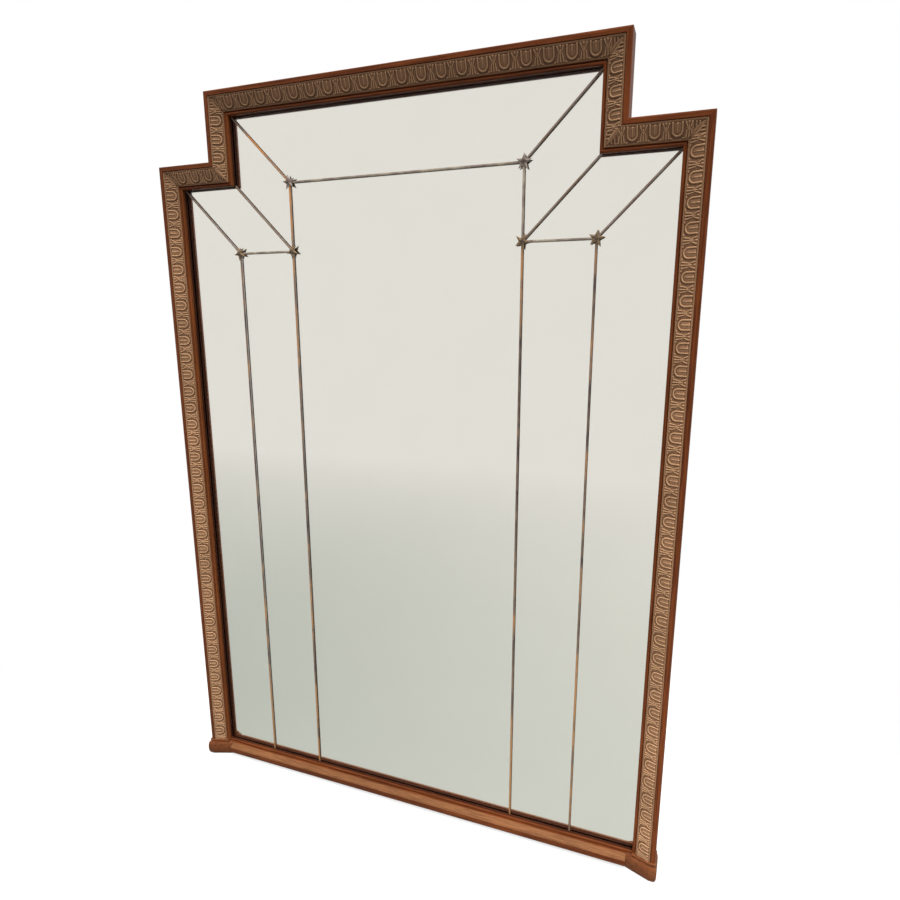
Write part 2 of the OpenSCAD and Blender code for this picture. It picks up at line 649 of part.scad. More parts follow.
// Pins that hold the stars, each with a collar on the glass
module star_pins() {
  color(brass) for (j = junctions) translate([j[0], front_y + glass_depth, j[1]]) {
    rotate([90, 0, 0]) cylinder(r = collar_r, h = collar_h);
    rotate([-90, 0, 0]) translate([0, 0, -eps]) cylinder(r = pin_r, h = glass_t + board_t - 1);
  }
}
module mitre_keys() {
  color(wood) {
    side_keys(0);
    mirror([1, 0, 0]) side_keys(0);
  }
}

module backing_board() {
  outline = [
    [-plate_x, plate_bottom_z], [-plate_x, plate_shoulder_z], [-plate_riser_x, plate_shoulder_z],
    [-plate_riser_x, plate_top_z], [plate_riser_x, plate_top_z], [plate_riser_x, plate_shoulder_z],
    [plate_x, plate_shoulder_z], [plate_x, plate_bottom_z]];
  color("#b08d62") difference() {
    translate([0, front_y + frame_t, 0]) rotate([90, 0, 0]) linear_extrude(board_t) polygon(outline);
    for (j = junctions) translate([j[0], front_y + glass_depth + glass_t - 1, j[1]])
      rotate([-90, 0, 0]) cylinder(r = pin_r + board_slack, h = board_t + 2);
    for (r = retainers) retaining_place([r[0], r[1]], r[2])
      translate([-plate_len / 4, -1, 0]) rotate([-90, 0, 0])
        translate([0, 0, -board_screw_len])
          cylinder(r = board_screw_r + board_slack, h = board_screw_len + 2);
  }
}

// Retaining plates bridge the frame and the board on the back. Each is placed
// by the point where it crosses the rebate's wall, and by its turn. One on each
// side is above the hanger's strap, and the others are spread out below it
low_retainer = rail_z + plate_low;
strap_retainer = hanger_z - strap_len - plate_w / 2 - plate_clear;
retaining_heights = concat(
  [for (i = [0 : side_plates - 2])
     low_retainer + i * (strap_retainer - low_retainer) / (side_plates - 2)],
  [sight_shoulder_z - plate_high]);
top_retainers = [-riser_x / 2, riser_x / 2];
bottom_retainers = [-outer_x, 0, outer_x];
wall_x = half_w - moulding_w + rebate_w;
retainers = concat(
  [for (z = retaining_heights) each [[-wall_x, z, -90], [wall_x, z, 90]]],
  [for (x = top_retainers) [x, top_z - moulding_w + rebate_w, 0]],
  [for (x = bottom_retainers) [x, rail_z + bottom_h - rebate_w, 180]]);
module retaining_place(at, turn)
  translate([at[0], front_y + frame_t, at[1]]) rotate([0, -90 + turn, 0]) children();
module retaining_plates() {
  color(steel) for (r = retainers) retaining_place([r[0], r[1]], r[2])
    difference() {
      rotate([-90, 0, 0]) linear_extrude(plate_t) {
        square([plate_len - plate_w, plate_w], center = true);
        for (end = [-1, 1]) translate([end * (plate_len - plate_w) / 2, 0]) circle(d = plate_w);
      }
      for (end = [-1, 1]) translate([end * plate_len / 4, -1, 0])
        rotate([-90, 0, 0]) cylinder(r = board_screw_r + metal_slack, h = plate_t + 2);
    }
}
module retaining_screws() {
  color(steel) for (r = retainers) retaining_place([r[0], r[1]], r[2])
    for (end = [-1, 1]) translate([end * plate_len / 4, plate_t, 0]) rotate([-90, 0, 0]) {
      translate([0, 0, -board_screw_len]) cylinder(r = board_screw_r, h = board_screw_len + eps);
      cylinder(r1 = board_screw_r * 2, r2 = board_screw_r * 1.2, h = board_screw_head);
    }
}

// A strap hanger: a flat plate with three screw holes and a rolled eye on top
module left_hanger_strap() {
  color(steel) translate([-half_w + back_middle, front_y + frame_t, hanger_z]) difference() {
    union() {
      translate([-strap_w / 2, 0, -strap_len]) cube([strap_w, strap_thick, strap_len + eye_out / 2]);
      translate([-strap_w / 2, eye_out, 0]) rotate([0, 90, 0]) cylinder(r = eye_r, h = strap_w);
      translate([-strap_w / 2, 0, 0]) cube([strap_w, eye_out, eye_r]);
    }
    translate([-strap_w / 2 - 1, eye_out, 0]) rotate([0, 90, 0])
      cylinder(r = ring_wire_r + ring_fit, h = strap_w + 2);
    for (drop = screw_drops) translate([0, -1, -drop]) rotate([-90, 0, 0])
      cylinder(r = screw_r + metal_slack, h = strap_thick + 2);
  }
}
// The D-shaped ring, hanging from its bar in the eye
module left_hanger_ring() {
  color(steel) translate([-half_w + back_middle, front_y + frame_t + eye_out, hanger_z]) {
    rotate([0, 90, 0]) translate([0, 0, -ring_bend_r]) cylinder(r = ring_wire_r, h = 2 * ring_bend_r);
    for (side = [-1, 1]) translate([side * ring_bend_r, 0, -ring_leg]) {
      cylinder(r = ring_wire_r, h = ring_leg);
      translate([0, 0, ring_leg]) sphere(r = ring_wire_r);
    }
    translate([0, 0, -ring_leg]) rotate([90, 0, 0]) rotate([0, 0, 180])
      rotate_extrude(angle = 180) translate([ring_bend_r, 0]) circle(r = ring_wire_r);
  }
}
module hanger_screws() {
  color(steel) for (side = [-1, 1]) for (drop = screw_drops)
    translate([side * (half_w - back_middle), front_y + frame_t + strap_thick, hanger_z - drop])
      rotate([-90, 0, 0]) {
        translate([0, 0, -screw_len]) cylinder(r = screw_r, h = screw_len + eps);
        cylinder(r1 = screw_head_r, r2 = screw_head_r * 0.6, h = screw_head_h);
      }
}
module wall_pads() {
  color("#4a4640") for (side = [-1, 1])
    translate([side * (half_w - back_middle), front_y + frame_t, pad_z])
      rotate([-90, 0, 0]) cylinder(r = pad_r, h = pad_t);
}

bottom_rail();
left_stile();
mirror([1, 0, 0]) left_stile();  // right_stile
left_shoulder_rail();
mirror([1, 0, 0]) left_shoulder_rail();  // right_shoulder_rail
left_riser();
mirror([1, 0, 0]) left_riser();  // right_riser
top_rail();
left_stile_carving();
mirror([1, 0, 0]) left_stile_carving();  // right_stile_carving
left_shoulder_carving();
mirror([1, 0, 0]) left_shoulder_carving();  // right_shoulder_carving
left_riser_carving();
mirror([1, 0, 0]) left_riser_carving();  // right_riser_carving
top_carving();
left_plinth();
mirror([1, 0, 0]) left_plinth();  // right_plinth
centre_plate();
top_plate();
left_riser_plate();
mirror([1, 0, 0]) left_riser_plate();  // right_riser_plate
left_shoulder_plate();
mirror([1, 0, 0]) left_shoulder_plate();  // right_shoulder_plate
left_outer_plate();
mirror([1, 0, 0]) left_outer_plate();  // right_outer_plate
left_inner_plate();
mirror([1, 0, 0]) left_inner_plate();  // right_inner_plate
top_bead();
left_top_diagonal_bead();
mirror([1, 0, 0]) left_top_diagonal_bead();  // right_top_diagonal_bead
left_short_bead();
mirror([1, 0, 0]) left_short_bead();  // right_short_bead
left_step_diagonal_bead();
mirror([1, 0, 0]) left_step_diagonal_bead();  // right_step_diagonal_bead
left_shoulder_bead();
mirror([1, 0, 0]) left_shoulder_bead();  // right_shoulder_bead
left_outer_diagonal_bead();
mirror([1, 0, 0]) left_outer_diagonal_bead();  // right_outer_diagonal_bead
left_inner_bead();
mirror([1, 0, 0]) left_inner_bead();  // right_inner_bead
left_outer_bead();
mirror([1, 0, 0]) left_outer_bead();  // right_outer_bead
left_top_star();
right_top_star();
left_inner_star();
right_inner_star();
left_outer_star();
right_outer_star();
star_pins();
mitre_keys();
backing_board();
retaining_plates();
retaining_screws();
left_hanger_strap();
mirror([1, 0, 0]) left_hanger_strap();  // right_hanger_strap
left_hanger_ring();
mirror([1, 0, 0]) left_hanger_ring();  // right_hanger_ring
hanger_screws();
wall_pads();
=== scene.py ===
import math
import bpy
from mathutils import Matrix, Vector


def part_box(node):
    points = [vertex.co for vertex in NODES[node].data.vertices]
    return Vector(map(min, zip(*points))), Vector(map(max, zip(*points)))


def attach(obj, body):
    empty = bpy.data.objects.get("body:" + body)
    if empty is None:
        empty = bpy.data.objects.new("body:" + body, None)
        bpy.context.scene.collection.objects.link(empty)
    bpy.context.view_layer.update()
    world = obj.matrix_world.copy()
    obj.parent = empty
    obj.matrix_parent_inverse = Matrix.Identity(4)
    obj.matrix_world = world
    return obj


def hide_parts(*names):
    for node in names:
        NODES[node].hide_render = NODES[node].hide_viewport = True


bl_info = {
    "name": "Stepped Deco Mirror",
    "version": (1, 0, 0),
    "blender": (4, 5, 0),
    "location": "View3D > Sidebar > Mirror",
    "description": "Finishes, carved bands and studio for a stepped art deco wall mirror",
    "category": "Object",
}

import bmesh
import bpy
import numpy as np
from bpy.props import FloatProperty, FloatVectorProperty, IntProperty, PointerProperty
from mathutils import Vector

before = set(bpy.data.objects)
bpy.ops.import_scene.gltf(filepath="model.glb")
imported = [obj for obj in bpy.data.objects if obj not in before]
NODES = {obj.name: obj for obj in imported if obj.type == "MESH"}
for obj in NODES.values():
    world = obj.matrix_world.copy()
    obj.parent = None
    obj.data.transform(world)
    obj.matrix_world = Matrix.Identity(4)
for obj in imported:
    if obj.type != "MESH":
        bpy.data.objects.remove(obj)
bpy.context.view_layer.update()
MM = 0.001

# Depth of the wall between the sight edge and the glass, which is painted near-black as painted shade
REVEAL_DEPTH = 7.2 * MM
# Stained beech: width and length of its streaks in millimetres, and its roughness
BEECH_STREAKS = (2.6, 90)
BEECH_ROUGHNESS = 0.45
# Roughness of the beads where they are rubbed bright
BRASS_ROUGHNESS = 0.4
# Limits of the wear pattern between which the tones of a metal change
WEAR_LOW, WEAR_HIGH = 0.38, 0.64
# Heights in metres: where the painted light on the beads' lower ends fades out, and where painted shade
# darkens the carving towards the top
PAINTED_LIGHT_FOOT = (0.1, 0.6)
PAINTED_SHADE_TOP = (1.3, 1.64)
# Roundness of the carved forms: 0.5 is a half circle, and less is fuller
FULLNESS = 0.35


def linear(hex_colour):
    """Linear RGB of an sRGB hex colour."""
    parts = [int(hex_colour[i : i + 2], 16) / 255 for i in (0, 2, 4)]
    return tuple(c / 12.92 if c <= 0.04045 else ((c + 0.055) / 1.055) ** 2.4 for c in parts)


# The floor as paint and as the dim ground under the mirror
FLOOR_PAINT = linear("E4E2DE")
FLOOR_DIM = linear("4A4845")
# The room that the glass shows: its floor at the left and at the right, and its far wall
ROOM_LEFT = linear("C8CBC6")
ROOM_RIGHT = linear("E6E5E1")
ROOM_WALL = linear("F7F2F1")
# Metres over which that floor changes from left to right, and from its near edge to the wall
ROOM_ACROSS = (-1.3, 0.9)
ROOM_OUT = (-0.2, -3.7)
# Metres from the mirror's middle over which its shadow on the floor fades to white
SHADOW_FADE = (0.5, 1.6)


def colour(label, words, hex_colour):
    """A colour property of the panel."""
    return FloatVectorProperty(
        name=label, description=words, subtype="COLOR", size=3, min=0, max=1, default=linear(hex_colour)
    )


def length(label, words, millimetres):
    """A length property of the panel."""
    return FloatProperty(
        name=label, description=words, unit="LENGTH", min=0, precision=5, default=millimetres * MM
    )


def angle(label, words, degrees):
    """An angle property of the panel."""
    return FloatProperty(
        name=label, description=words, unit="ROTATION", precision=5, default=math.radians(degrees)
    )


class CarvingSizes(bpy.types.PropertyGroup):
    """Sizes of the leaf-and-dart band, which lies on a slope of the moulding."""

    inset: length("Inset", "Outer edge of the moulding to the band", 11.5)
    width: length("Width", "Width of the band as seen from the front", 30.5)
    depth: length("Depth", "Depth of the band's ground at its outer side", 1.0)
    fall: length("Fall", "How much deeper the ground lies at its inner side", 12.0)
    thickness: length("Thickness", "Thickness of the strip under its ground", 4.0)
    relief: length("Relief", "Height of the carving above its ground", 2.3)
    pitch: length("Pitch", "Length of one tongue and dart", 41.6)
    foot: length("Foot margin", "Plain length of the strip over the plinth block", 6.0)
    rim: length("Rim", "Half the width of the rim round a tongue", 1.9)
    leaf: length("Leaf", "Half the width of the leaf on a mitre", 5.5)
    columns: IntProperty(name="Columns", description="Mesh columns per motif", default=52, min=12)
    rows: IntProperty(name="Rows", description="Mesh rows across the band", default=44, min=12)


class FinishColours(bpy.types.PropertyGroup):
    """Colours of the finishes."""

    stain: colour("Stain", "Red-brown stain on the moulding", "5E3017")
    stain_dark: colour("Stain, dark", "Stain in the pores and late wood", "411D0D")
    stain_light: colour("Stain, light", "Stain on the early wood", "743D1E")
    # Painted sheen: the paler stain of the upward slope at the foot stands in for the light it catches and
    # reflects
    rubbed: colour("Stain, rubbed", "Stain worn pale on the slope at the foot", "714A2F")
    block: colour("Stain, worn", "Stain on the plinth blocks, worn by years of cleaning", "643A22")
    # Painted light: a lighter stain on the inward faces of the uprights' sight edge, where light from the
    # side falls
    edge: colour("Stain, sight edge", "Stain on the inner edge of the uprights, thinned by cloths", "74401F")
    # Painted shade: a near-black brown for the wall above the glass, where shade and its image in the glass
    # fall
    reveal: colour("Reveal", "Black stain on the wall above the glass", "3C1F13")
    gilt: colour("Bronze", "Bronze powder on the high parts of the carving", "B8906C")
    gilt_mid: colour("Bronze, rubbed", "Bronze powder on the flanks of the carving", "957053")
    glaze: colour("Glaze", "Brown glaze in the hollows of the carving", "634530")
    silver: colour("Silvering", "Tint of the silver behind the glass", "EFEEE8")
    glass: colour("Glass", "Tint of the glass, seen once through it", "F8FBF8")
    brass: colour("Brass", "Rubbed stretches of the upright beads", "B6885B")
    copper: colour("Copper", "Warm stretches of two beads at the upper left", "CB8C4E")
    brass_worn: colour("Brass, worn", "Stretches between rubbed and tarnished", "84705F")
    brass_dull: colour("Brass, tarnished", "Tarnished stretches of the beads", "5C504A")
    pewter: colour("Pewter", "Level and short beads whose plating has held", "B7AC97")
    slant: colour("Brass, greyed", "Slanting beads, tarnished grey", "8E8076")
    bronze: colour("Star bronze", "Points of the two upper stars", "A09289")
    bronze_brown: colour("Star bronze, brown", "Points of the four lower stars", "8C7558")
    bronze_dark: colour("Star bronze, dark", "Middle of the stars", "51453C")
    board: colour("Board", "Bare plywood on the back", "C2A173")
    steel: colour("Zinc", "Zinc plating of the hangers and plates", "B9BABA")
    felt: colour("Felt", "Wall pads", "3C3A36")


class StageSettings(bpy.types.PropertyGroup):
    """Camera and light."""

    lens: FloatProperty(
        name="Lens", description="Focal length on a 36 mm frame", unit="CAMERA", default=25.067, min=1
    )
    distance: length("Distance", "Camera to the front of the frame", 1207.8)
    height: length("Height", "Camera over the foot of the mirror", 1168.7)
    aside: length("Aside", "Camera to the right of the mirror's middle", 614.1)
    pitch: angle("Pitch", "Tilt from straight down", 77.576)
    roll: angle("Roll", "Turn about the line of sight", -0.296)
    yaw: angle("Yaw", "Turn to the left", 20.435)
    shift_x: FloatProperty(name="Shift X", description="Sideways lens shift", default=-0.0207)
    shift_y: FloatProperty(name="Shift Y", description="Upward lens shift", default=0.0173)
    key: FloatProperty(name="Key", description="Strength of the key light, W/m2", default=6.2, min=0)
    key_height: angle("Key height", "Height of the key light above the horizon", 66.0)
    fill: FloatProperty(
        name="Fill", description="Power of the low fill light", unit="POWER", default=8.5, min=0
    )
    back: FloatProperty(name="Back", description="Strength of the light behind, W/m2", default=3.6, min=0)
    sky: FloatProperty(name="Sky", description="Strength of the even light", default=0.09, min=0)


def put(tree, kind, inputs=None, stops=None, **settings):
    """Adds a node, with its settings, its colour stops, and its inputs filled or linked."""
    node = tree.nodes.new(kind)
    for name, value in settings.items():
        setattr(node, name, value)
    if stops:
        while len(node.color_ramp.elements) < len(stops):
            node.color_ramp.elements.new(0.5)
        for element, (place, tint) in zip(node.color_ramp.elements, stops):
            element.position = place
            element.color = (*tint, 1.0)
    for name, value in (inputs or {}).items():
        if isinstance(value, bpy.types.NodeSocket):
            tree.links.new(value, node.inputs[name])
        else:
            node.inputs[name].default_value = value
    return node


def start_material(name):
    """An empty material with a shader, its output and the object's own coordinates."""
    material = bpy.data.materials.new(name)
    material.use_nodes = True
    tree = material.node_tree
    tree.nodes.clear()
    shader = put(tree, "ShaderNodeBsdfPrincipled")
    put(tree, "ShaderNodeOutputMaterial", {"Surface": shader.outputs["BSDF"]})
    place = put(tree, "ShaderNodeTexCoord").outputs["Object"]
    return material, tree, shader, place


def per_mm(x, y, z):
    """Mapping scale at which a pattern repeats after so many millimetres along each axis."""
    return (1 / (x * MM), 1 / (y * MM), 1 / (z * MM))


def dress(nodes, material, smooth_under=30):
    """Gives CAD nodes a material, and smooths the shading over their shallow edges."""
    for name in nodes:
        mesh = NODES[name].data
        mesh.materials.clear()
        mesh.materials.append(material)
        mesh.polygons.foreach_set("use_smooth", [True] * len(mesh.polygons))
        mesh.set_sharp_from_angle(angle=math.radians(smooth_under))


def named(*words):
    """Names of the CAD nodes that hold one of these words."""
    return [name for name in NODES if any(word in name for word in words)]


def wood(name, grain, tones, streaks_mm, roughness):
    """Planed and sanded wood with its grain along one axis.

    The eye reads it by long streaks of early and late wood, short dark pores
    along them, slow changes of tone from board to board, and a thin varnish
    that is rubbed down, so that its sheen is wide and weak. Real pores are a
    tenth of a millimetre wide, and are drawn at half a millimetre to show."""
    material, tree, shader, place = start_material(name)
    pore_width, pore_length = 0.5, 14
    streak_width, streak_length = streaks_mm
    stretch = [streak_width] * 3
    stretch["xyz".index(grain)] = streak_length
    pores = [pore_width] * 3
    pores["xyz".index(grain)] = pore_length
    streak = put(tree, "ShaderNodeMapping", {"Vector": place, "Scale": per_mm(*stretch)})
    rings = put(
        tree,
        "ShaderNodeTexNoise",
        {
            "Vector": streak.outputs["Vector"],
            "Scale": 1.0,
            "Detail": 5.0,
            "Roughness": 0.6,
            "Distortion": 0.4,
        },
    )
    tone = put(
        tree,
        "ShaderNodeValToRGB",
        {"Fac": rings.outputs["Fac"]},
        stops=[(0.32, tones[0]), (0.5, tones[1]), (0.7, tones[2])],
    )
    slow = put(tree, "ShaderNodeTexNoise", {"Vector": place, "Scale": 1 / (170 * MM), "Detail": 2.0})
    level = put(
        tree,
        "ShaderNodeMapRange",
        {"Value": slow.outputs["Fac"], "From Min": 0.3, "From Max": 0.7, "To Min": 0.82, "To Max": 1.14},
    )
    shade = put(
        tree,
        "ShaderNodeVectorMath",
        {0: tone.outputs["Color"], "Scale": level.outputs["Result"]},
        operation="SCALE",
    )
    pore_place = put(tree, "ShaderNodeMapping", {"Vector": place, "Scale": per_mm(*pores)})
    pore = put(
        tree,
        "ShaderNodeTexNoise",
        {"Vector": pore_place.outputs["Vector"], "Scale": 1.0, "Detail": 2.0, "Roughness": 0.5},
    )
    open_pore = put(
        tree,
        "ShaderNodeMapRange",
        {"Value": pore.outputs["Fac"], "From Min": 0.3, "From Max": 0.42, "To Min": 0.72, "To Max": 1.0},
    )
    final = put(
        tree,
        "ShaderNodeVectorMath",
        {0: shade.outputs["Vector"], "Scale": open_pore.outputs["Result"]},
        operation="SCALE",
    )
    rough = put(
        tree,
        "ShaderNodeMapRange",
        {
            "Value": rings.outputs["Fac"],
            "From Min": 0.3,
            "From Max": 0.7,
            "To Min": roughness + 0.08,
            "To Max": roughness,
        },
    )
    bump = put(
        tree,
        "ShaderNodeBump",
        {"Height": open_pore.outputs["Result"], "Distance": 0.15 * MM, "Strength": 0.5},
    )
    tree.links.new(final.outputs["Vector"], shader.inputs["Base Color"])
    tree.links.new(rough.outputs["Result"], shader.inputs["Roughness"])
    tree.links.new(bump.outputs["Normal"], shader.inputs["Normal"])
    shader.inputs["Specular IOR Level"].default_value = 0.14
    return material


def bronzed_composition(colours):
    """Cast composition, bronzed and glazed.

    Bronze powder catches the light on the high parts, and the dark glaze that
    was wiped over it stays in the hollows. The strip's own height says which.
    It is painted darker towards the top: painted shade, where less light reaches the top of the frame. Its
    sandy skin is drawn coarser than the real one, to show."""
    material, tree, shader, place = start_material("bronzed_composition")
    height = put(tree, "ShaderNodeAttribute", attribute_name="carved_height")
    speckle = put(tree, "ShaderNodeTexNoise", {"Vector": place, "Scale": 1 / (2.2 * MM), "Detail": 4.0})
    uneven = put(
        tree,
        "ShaderNodeMath",
        {0: speckle.outputs["Fac"], 1: 0.5, 2: height.outputs["Fac"]},
        operation="MULTIPLY_ADD",
    )
    tone = put(
        tree,
        "ShaderNodeValToRGB",
        {"Fac": uneven.outputs["Value"]},
        stops=[(0.36, colours.glaze), (0.72, colours.gilt_mid), (1.0, colours.gilt)],
    )
    slow = put(tree, "ShaderNodeTexNoise", {"Vector": place, "Scale": 1 / (90 * MM), "Detail": 3.0})
    level = put(
        tree,
        "ShaderNodeMapRange",
        {"Value": slow.outputs["Fac"], "From Min": 0.3, "From Max": 0.7, "To Min": 0.86, "To Max": 1.12},
    )
    up = put(tree, "ShaderNodeSeparateXYZ", {"Vector": place}).outputs["Z"]
    # Painted shade: the carving is darkened towards the top, where less light falls
    top_shade = put(
        tree,
        "ShaderNodeMapRange",
        {"Value": up, "From Min": PAINTED_SHADE_TOP[0], "From Max": PAINTED_SHADE_TOP[1], "To Min": 1.0, "To Max": 0.68},
    )
    tone_and_top_shade = put(
        tree,
        "ShaderNodeMath",
        {0: level.outputs["Result"], 1: top_shade.outputs["Result"]},
        operation="MULTIPLY",
    )
    final = put(
        tree,
        "ShaderNodeVectorMath",
        {0: tone.outputs["Color"], "Scale": tone_and_top_shade.outputs["Value"]},
        operation="SCALE",
    )
    sand = put(tree, "ShaderNodeTexNoise", {"Vector": place, "Scale": 1 / (0.8 * MM), "Detail": 2.0})
    bump = put(
        tree,
        "ShaderNodeBump",
        {"Height": sand.outputs["Fac"], "Distance": 0.12 * MM, "Strength": 0.6},
    )
    rough = put(
        tree,
        "ShaderNodeMapRange",
        {"Value": height.outputs["Fac"], "From Min": 0.0, "From Max": 1.0, "To Min": 0.75, "To Max": 0.5},
    )
    tree.links.new(final.outputs["Vector"], shader.inputs["Base Color"])
    tree.links.new(rough.outputs["Result"], shader.inputs["Roughness"])
    tree.links.new(bump.outputs["Normal"], shader.inputs["Normal"])
    shader.inputs["Metallic"].default_value = 0.1
    shader.inputs["Specular IOR Level"].default_value = 0.3
    return material


def silvering(colours):
    """Silver on the back of the plates.

    A near perfect mirror, with the faintest cloudiness where it has gone uneven."""
    material, tree, shader, place = start_material("silvering")
    cloud = put(tree, "ShaderNodeTexNoise", {"Vector": place, "Scale": 1 / (120 * MM), "Detail": 3.0})
    tone = put(
        tree,
        "ShaderNodeMapRange",
        {"Value": cloud.outputs["Fac"], "From Min": 0.3, "From Max": 0.7, "To Min": 0.985, "To Max": 1.0},
    )
    tint = put(
        tree,
        "ShaderNodeVectorMath",
        {0: tuple(colours.silver), "Scale": tone.outputs["Result"]},
        operation="SCALE",
    )
    tree.links.new(tint.outputs["Vector"], shader.inputs["Base Color"])
    shader.inputs["Roughness"].default_value = 0.03
    shader.inputs["Metallic"].default_value = 1.0
    return material


def float_glass(colours):
    """Clear float glass.

    It sets what it mirrors a glass thickness behind its face, so that beads
    and frame show with a second edge, and its faint waves bend long lines."""
    material, tree, shader, place = start_material("float_glass")
    wave = put(tree, "ShaderNodeTexNoise", {"Vector": place, "Scale": 1 / (260 * MM), "Detail": 1.0})
    bump = put(
        tree,
        "ShaderNodeBump",
        {"Height": wave.outputs["Fac"], "Distance": 0.2 * MM, "Strength": 0.2},
    )
    tree.links.new(bump.outputs["Normal"], shader.inputs["Normal"])
    shader.inputs["Base Color"].default_value = (*colours.glass, 1.0)
    shader.inputs["Transmission Weight"].default_value = 1.0
    shader.inputs["Roughness"].default_value = 0.0
    shader.inputs["IOR"].default_value = 1.5
    return material


def shades(tone, dark=0.72, light=1.2):
    """Three tones of one colour: a darker one, the colour itself and a lighter one."""
    return tuple(tuple(min(1.0, c * share) for c in tone) for share in (dark, 1.0, light))


def aged_metal(name, tones, patch_mm, roughness, metallic=1.0, painted_light_share=0.0):
    """Metal under years of tarnish, from its dullest tone to its brightest.

    Bare metal shows in patches between dull ones, and the dull ones are
    rougher. The lower ends are painted brighter, by a share: painted light,
    where more light falls low. The pitting is drawn coarser than the real one, to show."""
    material, tree, shader, place = start_material(name)
    patch = put(
        tree,
        "ShaderNodeTexNoise",
        {"Vector": place, "Scale": 1 / (patch_mm * MM), "Detail": 4.0, "Roughness": 0.55},
    )
    height = put(tree, "ShaderNodeSeparateXYZ", {"Vector": place}).outputs["Z"]
    # Painted light: towards the lower ends the tone is pushed to the bright metal, by a share
    foot = put(
        tree,
        "ShaderNodeMapRange",
        {
            "Value": height,
            "From Min": PAINTED_LIGHT_FOOT[0],
            "From Max": PAINTED_LIGHT_FOOT[1],
            "To Min": painted_light_share,
            "To Max": 0.0,
        },
    )
    wear = put(
        tree,
        "ShaderNodeMath",
        {0: patch.outputs["Fac"], 1: foot.outputs["Result"]},
        operation="ADD",
    )
    edges = np.linspace(WEAR_LOW, WEAR_HIGH, len(tones))
    tone = put(tree, "ShaderNodeValToRGB", {"Fac": wear.outputs["Value"]}, stops=list(zip(edges, tones)))
    rough = put(
        tree,
        "ShaderNodeMapRange",
        {
            "Value": wear.outputs["Value"],
            "From Min": WEAR_LOW,
            "From Max": WEAR_HIGH,
            "To Min": roughness + 0.2,
            "To Max": roughness,
        },
    )
    grit = put(tree, "ShaderNodeTexNoise", {"Vector": place, "Scale": 1 / (0.6 * MM), "Detail": 2.0})
    bump = put(
        tree,
        "ShaderNodeBump",
        {"Height": grit.outputs["Fac"], "Distance": 0.06 * MM, "Strength": 0.35},
    )
    tree.links.new(tone.outputs["Color"], shader.inputs["Base Color"])
    tree.links.new(rough.outputs["Result"], shader.inputs["Roughness"])
    tree.links.new(bump.outputs["Normal"], shader.inputs["Normal"])
    shader.inputs["Metallic"].default_value = metallic
    return material


def star_bronze(name, middle, reach, tones):
    """Cast bronze of one star.

    Its points are rubbed pale and its middle is brown with old polish, with
    patches of a few millimetres between the two."""
    material, tree, shader, place = start_material(name)
    away = put(tree, "ShaderNodeVectorMath", {0: place, 1: tuple(middle)}, operation="DISTANCE")
    patch = put(tree, "ShaderNodeTexNoise", {"Vector": place, "Scale": 1 / (4 * MM), "Detail": 3.0})
    ragged = put(
        tree,
        "ShaderNodeMath",
        {0: patch.outputs["Fac"], 1: 0.9 * reach, 2: away.outputs["Value"]},
        operation="MULTIPLY_ADD",
    )
    wear = put(
        tree,
        "ShaderNodeMapRange",
        {"Value": ragged.outputs["Value"], "From Min": 0.55 * reach, "From Max": 1.15 * reach},
    )
    tone = put(
        tree,
        "ShaderNodeValToRGB",
        {"Fac": wear.outputs["Result"]},
        stops=[(0.0, tones[0]), (0.9, tones[1])],
    )
    tree.links.new(tone.outputs["Color"], shader.inputs["Base Color"])
    shader.inputs["Roughness"].default_value = 0.5
    shader.inputs["Metallic"].default_value = 0.45
    return material


def wool_felt(colours):
    """Pressed wool felt: matt, fibrous, with no direction."""
    material, tree, shader, place = start_material("wool_felt")
    fibre = put(
        tree,
        "ShaderNodeTexNoise",
        {"Vector": place, "Scale": 1 / (0.7 * MM), "Detail": 6.0, "Roughness": 0.8, "Distortion": 1.5},
    )
    dark = tuple(c * 0.6 for c in colours.felt)
    light = tuple(min(1.0, c * 1.7) for c in colours.felt)
    tone = put(
        tree, "ShaderNodeValToRGB", {"Fac": fibre.outputs["Fac"]}, stops=[(0.35, dark), (0.65, light)]
    )
    bump = put(
        tree,
        "ShaderNodeBump",
        {"Height": fibre.outputs["Fac"], "Distance": 0.4 * MM, "Strength": 0.8},
    )
    tree.links.new(tone.outputs["Color"], shader.inputs["Base Color"])
    tree.links.new(bump.outputs["Normal"], shader.inputs["Normal"])
    shader.inputs["Roughness"].default_value = 0.95
    shader.inputs["Sheen Weight"].default_value = 0.4
    return material


def ridge(x, y, start, end, half_start, half_end):
    """Height, from 0 to 1, of a rounded ridge from start to end that tapers."""
    dx, dy = end[0] - start[0], end[1] - start[1]
    share = np.clip(((x - start[0]) * dx + (y - start[1]) * dy) / (dx * dx + dy * dy), 0, 1)
    away = np.hypot(x - start[0] - share * dx, y - start[1] - share * dy)
    half = half_start + (half_end - half_start) * share
    return np.sqrt(np.clip(1 - (away / half) ** 2, 0, 1))


def tongue_relief(x, y, pitch, across, rim):
    """Tongue: a U-shaped rim open to the outer side, round a lower lobe with a rib."""
    rim_height, lobe_height = 0.95, 0.5
    reach = 0.215 * pitch
    top = 0.14 * across
    bend = 0.52 * across
    away = np.where(y > bend, np.abs(np.hypot(x, y - bend) - reach), np.abs(np.abs(x) - reach))
    away = np.where(y < top, np.hypot(np.abs(x) - reach, top - y), away)
    height = rim_height * np.sqrt(np.clip(1 - (away / rim) ** 2, 0, 1))
    inner = reach - 0.9 * rim
    lobe = np.where(y > bend, np.hypot(x, y - bend), np.abs(x)) / inner
    lobe = lobe_height * np.clip(1 - lobe**2, 0, 1) ** FULLNESS * (y > top)
    rib = ridge(x, y, (0, top + 0.5 * rim), (0, bend + 0.35 * reach), 1.05 * rim, 0.45 * rim)
    return np.maximum(height, np.maximum(lobe, rim_height * rib))


